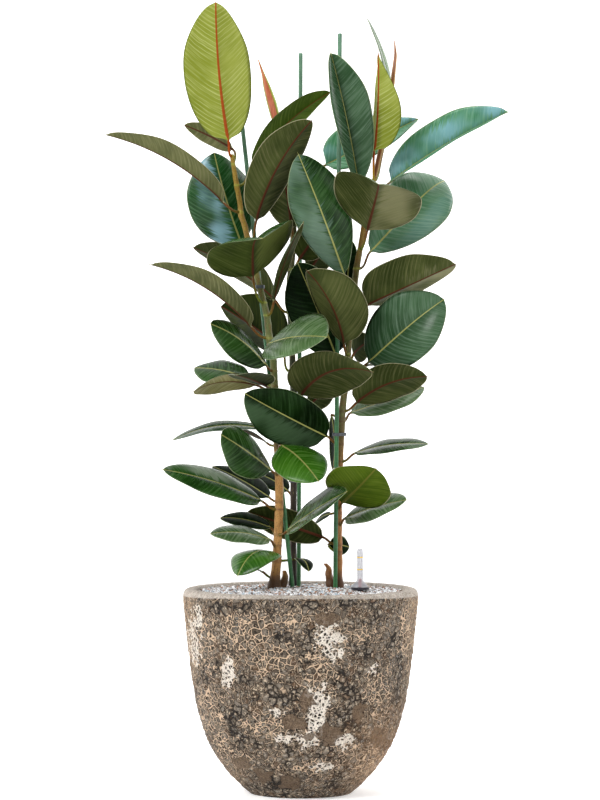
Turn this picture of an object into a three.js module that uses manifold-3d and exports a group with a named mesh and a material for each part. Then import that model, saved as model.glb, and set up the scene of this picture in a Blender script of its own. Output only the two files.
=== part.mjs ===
// A tall rubber plant with three stems in a round-bellied planter, in millimetres, +Z up.
// The origin is the middle of the planter's underside. +X is to the right and -Y is the front.
import * as THREE from "three";
import { mergeVertices } from "three/addons/utils/BufferGeometryUtils.js";
import Module from "manifold-3d";

const wasm = await Module();
wasm.setup();

// Driving dimensions
const gap = 0.35; // left between pieces that touch
const potHeight = 322;
const potOuter = [[80, 0], [96, 13], [117, 35], [135, 60], [148, 84], [158, 113], [166, 144],
  [171.5, 178], [177, 220], [180.6, 254], [184, 288], [185.5, 306]]; // radius, height
const potWall = 24;
const potFloor = 24;
const potSides = 40;
const potInnerRows = [60, 113, 178, 288]; // heights of the inner wall's rings
const potRelief = 1.3; // how far the glaze stands out or falls back
const soilTop = 294;
const gravelEdge = 317; // height of the gravel at the pot's wall
const gravelCrown = 2; // rise of the gravel to its middle
const gravelSides = 40;
const grainRelief = 1.4;
const stemSides = 8;
const stemDepth = 150; // how far the stems stand in the soil
const stakeRadius = 3.5;
const stakeBottom = 60;
const gaugePlace = [93, -28];
const gaugeFoot = 321.2;
const gaugeDiscRadius = 14.5;
const gaugeDiscDepth = 4;
const gaugeTubeRadius = 4.6;
const gaugeTop = 385;
const bladeThickness = 1;
const petioleRadius = 1.9;
const ribDrop = 1.3; // how far the midrib stands out under the blade

// Each stem's centre line with its radius, from the gravel up: x, y, z, radius
const stems = {
  left: [[-42, 40, 324, 10.5], [-41, 40, 334, 8.4], [-38, 40, 360, 7], [-34, 40, 450, 6.6],
    [-34, 39, 500, 6.4], [-36, 38, 545, 7], [-39, 38, 600, 6], [-43, 37, 680, 5.8], [-50, 36, 716, 6.2],
    [-53, 36, 750, 5.2], [-63, 35, 790, 5], [-78, 34, 850, 4.7], [-90, 33, 900, 4.5],
    [-94, 32, 907, 5], [-96, 32, 930, 4], [-101, 31, 957, 4.4], [-105, 28, 980, 3.6],
    [-109, 25, 1006, 3.2]],
  centre: [[-12, 101, 324, 7.5], [-12, 101, 340, 5.8], [-12, 101, 400, 5.3], [-11, 101, 500, 5.2],
    [-11, 101, 620, 5.4], [-14, 101, 700, 5.2], [-18, 101, 800, 5], [-13, 101, 850, 4.8],
    [-9.5, 101, 930, 4.4], [-10, 101, 1000, 3.8], [-19, 103, 1030, 3.4]],
  right: [[60, 46, 324, 8.6], [60, 46, 336, 6.4], [60, 46, 450, 5.6], [63, 45, 540, 5.4],
    [66, 45, 600, 5.8], [73, 44, 665, 5.2], [80, 43, 750, 4.8], [89, 42, 830, 5.2], [95, 42, 860, 4.4],
    [104, 41, 915, 4.2], [111, 40, 945, 4], [118, 40, 972, 3.4]],
};
const stemBuried = { left: 7.2, centre: 5.4, right: 6 }; // radius in the gravel and the soil

// Gnarled stumps of older shoots beside two of the stems
const stumps = {
  left: [[-30, 50, 323.5, 7], [-26, 52, 331, 6.2], [-24, 53, 339, 4.6], [-26, 54, 346, 2.8]],
  right: [[49, 55, 323.5, 7.5], [45, 56, 338, 6], [45, 57, 350, 4.5], [39, 58, 358, 2.6]],
};

// Plant sticks: lower and upper end of the centre line above the gravel
const stakes = {
  left: [[-13, 47, 322], [-95, 58, 1075]],
  centre: [[-3, 91, 325], [0, 106, 1172]],
  right: [[55, 33, 325], [62, 27, 1196]],
};

// Clips round a stem and its stick: stem, height
const ties = {
  left: ["left", 797],
  centre_high: ["centre", 789],
  centre_low: ["centre", 487],
  right: ["right", 563],
};

// Sheaths of the growing tips: the centre line with its radius
const buds = {
  centre: [[-19.5, 103, 1030.4, 3.2], [-30, 105, 1050, 5], [-39, 106, 1068, 8], [-46, 106, 1095, 8.6],
    [-54, 107, 1121, 6], [-59, 107, 1137, 3], [-68, 107, 1163, 0.8]],
  right: [[118.2, 40, 972.4, 3.1], [123, 43, 995, 4.2], [130, 46, 1025, 4.6], [138, 49, 1070, 4.8],
    [146, 51, 1120, 4.2], [151, 52, 1165, 2.6], [149, 53, 1189, 0.8]],
};

// Leaves, chosen one by one. Each row: name, stem, height of its foot, [blade base], [tip],
// { width, turn, fold, arch, late, sway, cup, slim, point }.
// turn is the side that the upper face looks to, in degrees: 0 to the front, 90 up, 180 to the back.
// fold lifts both halves to the upper face, cup bends their edges, arch bows the midrib to the
// upper face, late moves that bow to the tip, sway bows it to the blade's far edge, slim narrows
// the blade near its base and point near its tip.
const leafRows = [
  ["left_01", "left", 1003, [-114, 16, 1026], [-134, 22, 1250],
    { width: 112, turn: 197, fold: 17, arch: 4, sway: 4 }],
  ["left_02", "left", 915, [-121, 12, 929], [-309, -48, 1033],
    { width: 84, turn: 106, fold: 22, arch: 17, cup: -6 }],
  ["left_04", "left", 850, [-94, 62, 866], [-138, 50, 1013],
    { width: 124, turn: 20, fold: -18, arch: 8, sway: -6 }],
  ["left_05", "left", 862, [-70, 10, 900], [20, -32, 1058],
    { width: 82, turn: 150, fold: 30, arch: 8, sway: -9 }],
  ["left_06", "left", 772, [-75, 4, 813], [-58, -104, 868],
    { width: 154, turn: 139, fold: 17, arch: 18, late: 0.5, cup: -16, slim: 0.1 }],
  ["left_08", "left", 957, [-76, 46, 990], [50, 56, 1108],
    { width: 72, turn: 118, fold: 13, arch: 8, sway: -8 }],
  ["left_10", "centre", 663, [-31, 107, 701], [-131, 160, 769], { width: 108, turn: 150, fold: 42, arch: 4 }],
  ["left_11", "left", 664, [-54, 24, 672], [-143, -34, 738],
    { width: 68, turn: 44, fold: -14, arch: 4, sway: 8 }],
  ["left_13", "left", 632, [-70, 28, 641], [-169, -24, 631],
    { width: 74, turn: 115, fold: 2, arch: 12, slim: 0.4 }],
  ["left_14", "left", 633, [-55, 10, 640], [-102, -72, 658], { width: 70, turn: 112, fold: 16, arch: 2 }],
  ["left_16", "left", 573, [-60, 30, 573], [-205, 6, 553], { width: 58, turn: 106, fold: 4, arch: 15 }],
  ["left_17", "left", 500, [-47, 20, 507], [-126, -56, 566],
    { width: 86, turn: 40, fold: -10, arch: 4, slim: 0.3 }],
  ["left_19", "left", 444, [-62, 26, 458], [-219, -34, 510], { width: 72, turn: 58, fold: 4, arch: 8 }],
  ["left_22", "right", 388, [36, 50, 399], [-88, 94, 438], { width: 52, turn: 168, fold: 18, arch: 2 }],
  ["left_24", "left", 404, [-20, 12, 412], [73, -92, 478], { width: 76, turn: 70, fold: 13, arch: 4 }],
  ["left_26", "left", 386, [-48, 26, 396], [-144, -4, 407], { width: 60, turn: 66, fold: 2, arch: 8 }],
  ["left_27", "left", 369, [-42, 24, 376], [-99, -40, 342], { width: 80, turn: 62, fold: -4, arch: 20 }],
  ["left_29", "left", 716, [-78, 26, 733], [-239, -30, 831],
    { width: 88, turn: 106, fold: 22, arch: 16, cup: -6 }],
  ["centre_01", "right", 796, [69, 16, 815], [-5, -10, 1007],
    { width: 98, turn: 12, fold: 6, arch: 8, slim: 0.5 }],
  ["centre_03", "centre", 872, [-14, 80, 892], [-32, 60, 1004], { width: 88, turn: 168, fold: 30, arch: 4 }],
  ["centre_05", "left", 752, [-42, 16, 775], [5, -50, 897], { width: 70, turn: 101, fold: 4, arch: 6 }],
  ["centre_06", "right", 672, [56, 48, 688], [-6, 42, 838], { width: 96, turn: 14, fold: 6, arch: 2 }],
  ["centre_07", "right", 690, [68, 2, 706], [8, -46, 822],
    { width: 114, turn: 142, fold: 36, arch: 6, sway: -8, point: 0.25 }],
  ["centre_08", "left", 690, [-50, 0, 706], [42, -112, 716], { width: 106, turn: 52, fold: 9, arch: 8 }],
  ["centre_09", "centre", 622, [0, 18, 625], [113, -92, 662],
    { width: 90, turn: 143, fold: 5, arch: 12, sway: -18, slim: -0.4 }],
  ["centre_10", "right", 548, [42, 38, 560], [-90, -14, 630], { width: 94, turn: -19, fold: 19, arch: 4 }],
  ["centre_11", "left", 540, [-30, 2, 546], [29, -78, 491], { width: 86, turn: 34, fold: -8, arch: 10 }],
  ["right_01", "right", 940, [91, 24, 958], [46, 4, 1168],
    { width: 88, turn: 30, fold: 40, arch: 6, slim: 0.3 }],
  ["right_02", "right", 958, [116, 22, 1010], [122, 20, 1172],
    { width: 92, turn: 225, fold: 43, arch: 4, point: 1 }],
  ["right_03", "right", 857, [105, 0, 885], [119, -150, 950],
    { width: 144, turn: 186, fold: 18, arch: 14, late: 0.5 }],
  ["right_04", "right", 966, [132, 94, 1017], [103, 102, 1234], { width: 58, turn: 78, fold: 8, arch: 22 }],
  ["right_05", "centre", 968, [40, 158, 996], [194, 164, 1073],
    { width: 92, turn: 40, fold: 25, arch: 0, slim: -0.5, point: 0.55 }],
  ["right_07", "right", 946, [142, 52, 963], [335, 72, 1078],
    { width: 94, turn: 52, fold: 36, arch: 8, cup: -6 }],
  ["right_08", "right", 826, [110, 46, 852], [233, 124, 969],
    { width: 112, turn: 12, fold: 0, arch: 30, late: 0.8, slim: 0.5 }],
  ["right_09", "right", 756, [104, 22, 767], [245, -38, 832], { width: 98, turn: 132, fold: 32, slim: -0.5 }],
  ["right_10", "right", 664, [107, 36, 677], [228, -10, 778],
    { width: 114, turn: 16, fold: 14, arch: 12, late: 0.5, slim: 0.2 }],
  ["right_12", "right", 446, [66, 18, 456], [117, -112, 515], { width: 102, turn: 164, fold: 8, arch: -4 }],
  ["right_13", "right", 420, [70, 30, 430], [168, -24, 462], { width: 72, turn: 64, fold: 6, arch: 4 }],
  ["right_14", "right", 520, [86, 36, 533], [204, 12, 548], { width: 66, turn: 73, fold: 5, arch: 7 }],
  ["right_16", "right", 600, [88, 34, 613], [201, -16, 655],
    { width: 82, turn: 138, fold: 12, arch: 8, sway: -8 }],
];

// Smaller and half hidden leaves, which are one body with their stem
const smallRows = [
  ["left_03", "left", 990, [-108, 58, 1016], [-188, 104, 1058], { width: 36, turn: 140, fold: 10, arch: 4 }],
  ["left_07", "centre", 757, [-42, 104, 778], [-176, 128, 863], { width: 78, turn: 125, fold: 24, arch: 10 }],
  ["left_12", "left", 640, [-84, 66, 652], [-172, 110, 668], { width: 62, turn: 50, fold: 0, arch: 6 }],
  ["left_18", "left", 545, [-52, 54, 548], [-98, 84, 569], { width: 40, turn: 100, fold: 4, arch: 4 }],
  ["left_20", "left", 456, [-50, 58, 462], [-143, 98, 511], { width: 62, turn: 58, fold: 6, arch: 4 }],
  ["left_21", "centre", 464, [-20, 112, 470], [-68, 130, 497], { width: 44, turn: 50, fold: 6, arch: 4 }],
  ["left_25", "left", 404, [-48, 56, 414], [-130, 68, 429], { width: 44, turn: 60, fold: 8, arch: 6 }],
  ["left_28", "left", 336, [-60, 50, 344], [-102, 56, 344], { width: 36, turn: 96, fold: 4, arch: 6 }],
  ["centre_02", "centre", 812, [14, 122, 824], [60, 134, 884], { width: 56, turn: 150, fold: 10, arch: 4 }],
  ["centre_04", "centre", 826, [-2, 78, 842], [44, 66, 900], { width: 60, turn: 160, fold: 10, arch: 4 }],
  ["centre_12", "left", 362, [-6, 66, 364], [13, 40, 345], { width: 30, turn: 60, fold: 4, arch: 8 }],
  ["centre_13", "centre", 596, [14, 118, 608], [56, 132, 640], { width: 50, turn: 150, fold: 10, arch: 4 }],
  ["right_11", "right", 676, [84, 58, 690], [114, 90, 714], { width: 50, turn: 150, fold: 10, arch: 4 }],
  ["right_15", "right", 584, [80, 58, 597], [200, 88, 638], { width: 66, turn: 56, fold: 4, arch: 0 }],
  ["right_18", "right", 660, [104, 62, 672], [170, 92, 670], { width: 34, turn: 84, fold: 4, arch: 4 }],
  ["right_20", "right", 588, [49, 60, 592], [51, 70, 504], { width: 30, turn: 60, fold: 4, arch: 4 }],
  ["right_21", "right", 438, [48, 58, 436], [22, 76, 418], { width: 28, turn: 76, fold: 4, arch: 4 }],
  ["right_22", "right", 376, [46, 62, 388], [78, 74, 382], { width: 32, turn: 20, fold: 4, arch: 4 }],
  ["right_23", "right", 770, [74, 62, 792], [82, 74, 872], { width: 30, turn: 20, fold: 4, arch: 4 }],
];

const colours = {
  pot: 0x8d7d69, soil: 0x4a3c30, gravel: 0xb5ada0, stem: 0x7d6a3c, stake: 0x4a9060, tie: 0x50565c,
  budPink: 0xd98a70, budBrown: 0xa3643a, disc: 0x2c3036, tube: 0xe8ecec, float: 0xc03828,
  leafTop: 0x2f5a38, leafUnder: 0x5b5c34, leafLime: 0x98a53a,
};

// Geometry helpers

// Shared vertices merged and faces without an area dropped.
function tidy(geometry) {
  const bare = geometry.clone();
  bare.deleteAttribute("normal");
  bare.deleteAttribute("uv");
  const merged = mergeVertices(bare, 1e-4);
  const index = merged.index.array;
  const kept = [];
  for (let i = 0; i < index.length; i += 3) {
    const [a, b, c] = [index[i], index[i + 1], index[i + 2]];
    if (a !== b && b !== c && c !== a) kept.push(a, b, c);
  }
  merged.setIndex(kept);
  return merged;
}

function toSolid(geometry) {
  const merged = tidy(geometry);
  return new wasm.Manifold(new wasm.Mesh({
    numProp: 3,
    vertProperties: new Float32Array(merged.attributes.position.array),
    triVerts: new Uint32Array(merged.index.array),
  }));
}

function toGeometry(solid) {
  const mesh = solid.getMesh();
  const geometry = new THREE.BufferGeometry();
  geometry.setAttribute("position", new THREE.BufferAttribute(mesh.vertProperties, 3));
  geometry.setIndex(new THREE.BufferAttribute(mesh.triVerts, 1));
  return geometry;
}

function joined(geometries) {
  return toGeometry(geometries.map(toSolid).reduce((whole, next) => whole.add(next)));
}

function cut(geometry, tools) {
  return toGeometry(tools.map(toSolid).reduce((whole, tool) => whole.subtract(tool), toSolid(geometry)));
}

// A lathe profile given as radius and height, turned about Z.
function turned(profile, sides) {
  const geometry = new THREE.LatheGeometry(profile.map(([r, z]) => new THREE.Vector2(r, z)), sides);
  return geometry.rotateX(Math.PI / 2);
}

function uprightCylinder(radius, low, high, x, y, sides) {
  const geometry = new THREE.CylinderGeometry(radius, radius, high - low, sides);
  return geometry.rotateX(Math.PI / 2).translate(x, y, (low + high) / 2);
}

// A rod whose rings lie level: rows of x, y, z and radius from its low end to its high end.
function rod(rows, sides) {
  const geometry = new THREE.CylinderGeometry(1, 1, 1, sides, rows.length - 1).rotateX(Math.PI / 2);
  const place = geometry.attributes.position;
  for (let i = 0; i < place.count; i++) {
    const [x, y, z, radius] = rows[Math.round((place.getZ(i) + 0.5) * (rows.length - 1))];
    place.setXYZ(i, x + place.getX(i) * radius, y + place.getY(i) * radius, z);
  }
  return geometry;
}

function smooth(x) {
  const t = Math.min(Math.max(x, 0), 1);
  return t * t * (3 - 2 * t);
}

// The stem's centre and radius at a height.
function stemAt(stem, height) {
  const rows = stems[stem];
  const above = Math.max(1, rows.findIndex((row) => row[2] >= height));
  const [low, high] = [rows[above - 1], rows[above]];
  const share = (height - low[2]) / (high[2] - low[2]);
  return low.map((value, k) => value + (high[k] - value) * share);
}

// Leaves

const bladeStations = [0, 0.05, 0.17, 0.35, 0.56, 0.76, 0.91, 1];
const smallStations = [0, 0.06, 0.28, 0.58, 0.86, 1];
const petioleStations = [0, 0.5];

// Half the blade's width at a place along it, as a share of its widest.
function bladeOutline(along) {
  const round = Math.max(0, 1 - Math.abs(2 * along / 0.975 - 1) ** 2.15) ** 0.56;
  return round * (1 - 0.16 * smooth((along - 0.62) / 0.38));
}

// Unit vectors of a blade: to its far edge and out of its upper face.
function bladeAxes(base, tip, turn) {
  const chord = tip.clone().sub(base).normalize();
  const front = new THREE.Vector3(0, -1, 0);
  front.addScaledVector(chord, -front.dot(chord)).normalize();
  const up = chord.clone().cross(front);
  if (up.z < 0) up.negate();
  const angle = THREE.MathUtils.degToRad(turn);
  const face = front.clone().multiplyScalar(Math.cos(angle)).addScaledVector(up, Math.sin(angle));
  const side = front.clone().multiplyScalar(-Math.sin(angle)).addScaledVector(up, Math.cos(angle));
  return { side, face };
}

// The bowed midrib, walked by its own length so that a bent blade is foreshortened truly.
function midrib(base, tip, bow, late) {
  const third = tip.clone().sub(base).divideScalar(3);
  const near = base.clone().add(third).addScaledVector(bow, 4 / 3 * (1 - late));
  const far = tip.clone().sub(third).addScaledVector(bow, 4 / 3 * (1 + late));
  return new THREE.CubicBezierCurve3(base, near, far, tip);
}

// Sections of a leaf from its foot on the stem to its tip: centre, side, face, half width, depth.
function leafSections([, stem, height, base, tip, form], sunk) {
  const { width, turn, fold = 0, arch = 0, late = 0, sway = 0, cup = -14, slim = 0, point = 0 } = form;
  const from = new THREE.Vector3(...base);
  const to = new THREE.Vector3(...tip);
  const { side, face } = bladeAxes(from, to, turn);
  const bow = face.clone().multiplyScalar(arch).addScaledVector(side, sway);
  const rib = midrib(from, to, bow, late);
  const [sx, sy, , radius] = stemAt(stem, height);
  const out = new THREE.Vector3(from.x - sx, from.y - sy, 0).normalize();
  const foot = new THREE.Vector3(sx, sy, height).addScaledVector(out, radius + (sunk ? -1.5 : gap));
  const reach = foot.distanceTo(from) * 0.36;
  const stalk = new THREE.CubicBezierCurve3(foot, foot.clone().addScaledVector(out, reach),
    from.clone().addScaledVector(rib.getTangent(0), -reach), from);
  const sections = petioleStations.map((share) => ({
    centre: stalk.getPoint(share), tangent: stalk.getTangent(share), half: petioleRadius,
    depth: petioleRadius * 2, rib: 0, fold: 0, cup: 0,
  }));
  for (const along of sunk ? smallStations : bladeStations) {
    const wide = width / 2 * bladeOutline(along) * (1 - slim * (1 - along) ** 3) * (1 - point * along ** 2);
    const half = Math.max(wide, along > 0.5 ? 0.9 : petioleRadius);
    const bent = Math.min(1, half / 8); // a narrow end stays flat, so its faces keep apart
    sections.push({
      centre: rib.getPointAt(along), tangent: rib.getTangentAt(along), half,
      depth: bladeThickness + 1.6 * (1 - smooth(along / 0.06)), rib: ribDrop * (1 - 0.8 * along),
      fold: fold * bent, cup: cup * bent,
    });
  }
  return sections.map((section) => ({ ...section, side, face }));
}

// Points of one section's upper and lower face, from the near edge to the far edge.
function sectionPoints(section, across) {
  const { centre, tangent, half, depth, rib } = section;
  const side = section.side.clone().addScaledVector(tangent, -section.side.dot(tangent)).normalize();
  const face = tangent.clone().cross(side);
  if (face.dot(section.face) < 0) face.negate();
  const upper = [];
  const lower = [];
  for (let k = 0; k <= across; k++) {
    const share = 2 * k / across - 1;
    const part = Math.abs(share);
    const lift = THREE.MathUtils.degToRad(section.fold + section.cup * (part - 0.5));
    const [level, rise] = [Math.sign(share) * Math.cos(lift), Math.sin(lift)];
    const run = side.clone().multiplyScalar(level).addScaledVector(face, rise);
    const middle = centre.clone().addScaledVector(run, half * part);
    const normal = face.clone().multiplyScalar(Math.cos(lift));
    normal.addScaledVector(side, -Math.sign(share) * rise);
    upper.push(middle.clone().addScaledVector(normal, depth / 2));
    lower.push(middle.clone().addScaledVector(normal, -depth / 2 - (share === 0 ? rib : 0)));
  }
  return { upper, lower };
}

// A thin closed body between an upper and a lower grid of points, split alike on both faces.
function sheet(sections, across) {
  const grids = sections.map((section) => sectionPoints(section, across));
  const rows = grids.length;
  const span = across + 1;
  const points = [...grids.flatMap((grid) => grid.upper), ...grids.flatMap((grid) => grid.lower)];
  const up = (i, k) => i * span + k;
  const down = (i, k) => rows * span + i * span + k;
  const faces = [];
  const quad = (a, b, c, d) => faces.push(a, b, c, a, c, d);
  for (let i = 0; i < rows - 1; i++) {
    for (let k = 0; k < across; k++) {
      const [a, b, c, d] = [[i, k], [i, k + 1], [i + 1, k + 1], [i + 1, k]];
      const corners = k < across / 2 ? [a, b, c, d] : [b, c, d, a];
      quad(...corners.map((corner) => up(...corner)));
      const [p, q, r, s] = corners.map((corner) => down(...corner));
      faces.push(p, r, q, p, s, r);
    }
    quad(up(i, 0), up(i + 1, 0), down(i + 1, 0), down(i, 0));
    quad(up(i + 1, across), up(i, across), down(i, across), down(i + 1, across));
  }
  for (let k = 0; k < across; k++) {
    quad(up(0, k + 1), up(0, k), down(0, k), down(0, k + 1));
    quad(up(rows - 1, k), up(rows - 1, k + 1), down(rows - 1, k + 1), down(rows - 1, k));
  }
  const geometry = new THREE.BufferGeometry();
  geometry.setAttribute("position", new THREE.Float32BufferAttribute(points.flatMap((p) => p.toArray()), 3));
  geometry.setIndex(faces);
  return outward(geometry);
}

// Turns the faces round where the body came out with them pointing in.
function outward(geometry) {
  const place = geometry.attributes.position;
  const index = geometry.index.array;
  const at = (i) => new THREE.Vector3().fromBufferAttribute(place, index[i]);
  let volume = 0;
  for (let i = 0; i < index.length; i += 3) volume += at(i).dot(at(i + 1).cross(at(i + 2)));
  if (volume < 0) {
    const faces = [];
    for (let i = 0; i < index.length; i += 3) faces.push(index[i], index[i + 2], index[i + 1]);
    geometry.setIndex(faces);
  }
  return geometry;
}

function leafGeometry(row) {
  return sheet(leafSections(row, false), 4);
}

function smallLeafGeometry(row) {
  return sheet(leafSections(row, true), 2);
}

// Pot, soil and gravel

function lumps(angle, height) {
  const wave = (a, b, c) => Math.sin(a * angle + b * height + c);
  return (wave(9, 0.11, 0.4) + wave(14, -0.16, 2.1) + wave(5, 0.23, 1.2) + wave(-17, 0.19, 3.3)) / 4;
}

function potGeometry() {
  const inner = potInnerRows.map((z) => [insideRadius(z) + 2 * gap, z]);
  const profile = [[0, 0], [60, 0], ...potOuter, [184.5, 315], [181, 320], [176, potHeight],
    [167, potHeight], [162.5, 318.5], ...inner.reverse(), [96, potFloor + 6], [60, potFloor], [0, potFloor]];
  const geometry = tidy(turned(profile, potSides));
  const place = geometry.attributes.position;
  for (let i = 0; i < place.count; i++) {
    const [x, y, z] = [place.getX(i), place.getY(i), place.getZ(i)];
    const radius = Math.hypot(x, y);
    const outside = potOuter.some(([r, h]) => Math.abs(h - z) < 0.01 && Math.abs(r - radius) < 0.01);
    if (!outside || z < 5) continue;
    const grown = 1 + potRelief * (lumps(Math.atan2(y, x), z) - 0.6) / radius;
    place.setXYZ(i, x * grown, y * grown, z);
  }
  return outward(geometry);
}

// The pot's inside radius at a height, less the gap.
function insideRadius(height) {
  const rows = potOuter;
  const above = Math.max(1, rows.findIndex(([, z]) => z >= height));
  const [low, high] = [rows[above - 1], rows[above]];
  return low[0] + (high[0] - low[0]) * (height - low[1]) / (high[1] - low[1]) - potWall - 2 * gap;
}

function hole(radius, low, x, y) {
  return uprightCylinder((radius + gap) / Math.cos(Math.PI / 10), low, potHeight + 20, x, y, 10);
}

function plantingHoles() {
  const stemHoles = Object.entries(stems).map(([name, [[x, y, z]]]) => (
    hole(stemBuried[name], z - stemDepth - gap, x, y)));
  const stakeHoles = Object.values(stakes).map(([[x, y]]) => hole(stakeRadius, stakeBottom - gap, x, y));
  return [...stemHoles, ...stakeHoles, hole(5, 80 - gap, ...gaugePlace)];
}

function soilGeometry() {
  const side = potInnerRows;
  const profile = [[0, potFloor + gap], [60, potFloor + 2 * gap], [95, potFloor + 7],
    ...side.map((z) => [insideRadius(z), z]), [insideRadius(soilTop), soilTop], [0, soilTop]];
  return cut(turned(profile, potSides / 2), plantingHoles());
}

function gravelGeometry() {
  const edge = insideRadius(soilTop);
  const rings = [1, 0.9, 0.76, 0.6, 0.42, 0.24, 0.1];
  const top = rings.map((share) => [edge * share, gravelEdge + gravelCrown * (1 - share * share)]);
  const profile = [[0, soilTop + gap], [edge - 1, soilTop + gap], ...top, [0, gravelEdge + gravelCrown]];
  const geometry = tidy(turned(profile, gravelSides));
  const place = geometry.attributes.position;
  for (let i = 0; i < place.count; i++) {
    const [x, y, z] = [place.getX(i), place.getY(i), place.getZ(i)];
    if (z < gravelEdge - 1) continue;
    const coarse = Math.sin(x * 0.71 + y * 0.23) * Math.sin(y * 0.83 - x * 0.31);
    const fine = Math.sin(x * 1.9) * Math.sin(y * 1.7);
    place.setZ(i, z + grainRelief * (coarse + fine) / 2);
  }
  return cut(outward(geometry), plantingHoles());
}

// Stems, buds, sticks and clips

function stemGeometry(name) {
  const rows = stems[name];
  const [x, y, z] = rows[0];
  const buried = stemBuried[name];
  const stalk = rod([[x, y, z - stemDepth, buried * 0.8], [x, y, z - stemDepth + 20, buried],
    [x, y, z - 1.5, buried], ...rows], stemSides);
  const stump = name in stumps ? [rod(stumps[name], 7)] : [];
  const leaves = smallRows.filter((row) => row[1] === name).map(smallLeafGeometry);
  return joined([stalk, ...stump, ...leaves]);
}

function stakeGeometry([low, high]) {
  const [x, y, z] = low;
  const rows = [[x, y, stakeBottom, stakeRadius * 0.5], [x, y, stakeBottom + 12, stakeRadius],
    [x, y, z - 2, stakeRadius], [...low, stakeRadius], [...high, stakeRadius],
    [high[0], high[1], high[2] + 3, stakeRadius * 0.6]];
  return rod(rows, 8);
}

function stakeAt([low, high], height) {
  const share = (height - low[2]) / (high[2] - low[2]);
  return low.map((value, k) => value + (high[k] - value) * share);
}

// A band that runs round the stem and its stick, with a short tail.
function tieGeometry(name) {
  const [stem, height] = ties[name];
  const [ax, ay, , stemRadius] = stemAt(stem, height);
  const [bx, by] = stakeAt(stakes[stem], height);
  const heading = Math.atan2(by - ay, bx - ax);
  const loop = (wide) => {
    const shape = new THREE.Shape();
    const [ra, rb] = [stemRadius + wide, stakeRadius + wide];
    shape.absarc(ax, ay, ra, heading + Math.PI / 2, heading - Math.PI / 2, false);
    shape.absarc(bx, by, rb, heading - Math.PI / 2, heading + Math.PI / 2, false);
    return shape;
  };
  const band = loop(3);
  band.holes.push(loop(0.9));
  const geometry = new THREE.ExtrudeGeometry(band, { depth: 5, bevelEnabled: false, curveSegments: 4 });
  return geometry.translate(0, 0, height - 2.5);
}

// Water gauge

function gaugeBaseGeometry() {
  const top = gaugeFoot + gaugeDiscDepth;
  const profile = [[0, 80], [5, 80], [5, gaugeFoot], [gaugeDiscRadius, gaugeFoot],
    [gaugeDiscRadius, top], [0, top]];
  return turned(profile, 16).translate(...gaugePlace, 0);
}

function gaugeTubeGeometry() {
  const wall = 1.1;
  const foot = gaugeFoot + gaugeDiscDepth + gap;
  const profile = [[12.5, foot], [12, foot + 2], [9.5, foot + 5.5], [6.4, foot + 8.5],
    [gaugeTubeRadius, foot + 11], [gaugeTubeRadius, gaugeTop], [0, gaugeTop], [0, gaugeTop - wall],
    [gaugeTubeRadius - wall, gaugeTop - wall], [gaugeTubeRadius - wall, foot + 10.5], [5.4, foot + 7.4],
    [8.4, foot + 4.6], [10.8, foot + 1.2], [11.2, foot], [12.5, foot]];
  return turned(profile, 14).translate(...gaugePlace, 0);
}

function gaugeFloatGeometry() {
  const foot = gaugeFoot + gaugeDiscDepth + gap;
  return turned([[0, foot], [2.6, foot], [2.6, foot + 12], [0, foot + 13]], 8).translate(...gaugePlace, 0);
}

// Assembly

const plant = new THREE.Group();

function addPiece(name, geometry, color, roughness) {
  const mesh = new THREE.Mesh(geometry, new THREE.MeshStandardMaterial({ color, roughness, metalness: 0 }));
  mesh.name = name;
  plant.add(mesh);
}

addPiece("pot", potGeometry(), colours.pot, 0.9);
addPiece("soil", soilGeometry(), colours.soil, 1);
addPiece("gravel", gravelGeometry(), colours.gravel, 0.95);
for (const name of Object.keys(stems)) addPiece(`stem_${name}`, stemGeometry(name), colours.stem, 0.7);
for (const [name, line] of Object.entries(stakes)) {
  addPiece(`stake_${name}`, stakeGeometry(line), colours.stake, 0.5);
}
for (const name of Object.keys(ties)) addPiece(`tie_${name}`, tieGeometry(name), colours.tie, 0.5);
addPiece("bud_centre", rod(buds.centre, 8), colours.budPink, 0.5);
addPiece("bud_right", rod(buds.right, 8), colours.budBrown, 0.5);
addPiece("gauge_base", gaugeBaseGeometry(), colours.disc, 0.4);
addPiece("gauge_tube", gaugeTubeGeometry(), colours.tube, 0.1);
addPiece("gauge_float", gaugeFloatGeometry(), colours.float, 0.4);
for (const row of leafRows) {
  const young = row[0] === "left_01" || row[0] === "right_02";
  const under = row[5].turn > 90;
  const color = young ? colours.leafLime : under ? colours.leafUnder : colours.leafTop;
  addPiece(`leaf_${row[0]}`, leafGeometry(row), color, 0.4);
}

export default plant;
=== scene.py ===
import math
import bpy
import numpy as np
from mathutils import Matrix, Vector, noise


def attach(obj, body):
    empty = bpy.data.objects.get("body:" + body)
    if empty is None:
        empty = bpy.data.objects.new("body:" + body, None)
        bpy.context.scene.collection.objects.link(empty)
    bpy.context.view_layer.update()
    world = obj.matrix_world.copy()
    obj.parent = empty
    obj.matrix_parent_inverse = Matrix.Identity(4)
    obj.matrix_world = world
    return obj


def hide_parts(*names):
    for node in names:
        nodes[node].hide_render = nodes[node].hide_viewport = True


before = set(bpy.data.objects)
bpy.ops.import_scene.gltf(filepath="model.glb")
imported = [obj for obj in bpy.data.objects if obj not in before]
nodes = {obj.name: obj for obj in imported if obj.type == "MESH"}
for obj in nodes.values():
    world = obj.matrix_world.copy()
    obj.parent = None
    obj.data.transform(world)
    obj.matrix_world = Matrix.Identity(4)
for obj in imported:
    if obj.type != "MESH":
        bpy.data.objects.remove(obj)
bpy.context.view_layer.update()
draw = np.random.default_rng(11)
mm = 0.001  # the tables below are in millimetres
print("frame loaded")


# Numbers and colours

def linear(hue):  # a screen colour, 0 to 255, as the shaders take it
    shares = [v / 255 for v in hue]
    return [v / 12.92 if v <= 0.04045 else ((v + 0.055) / 1.055) ** 2.4 for v in shares]


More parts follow.
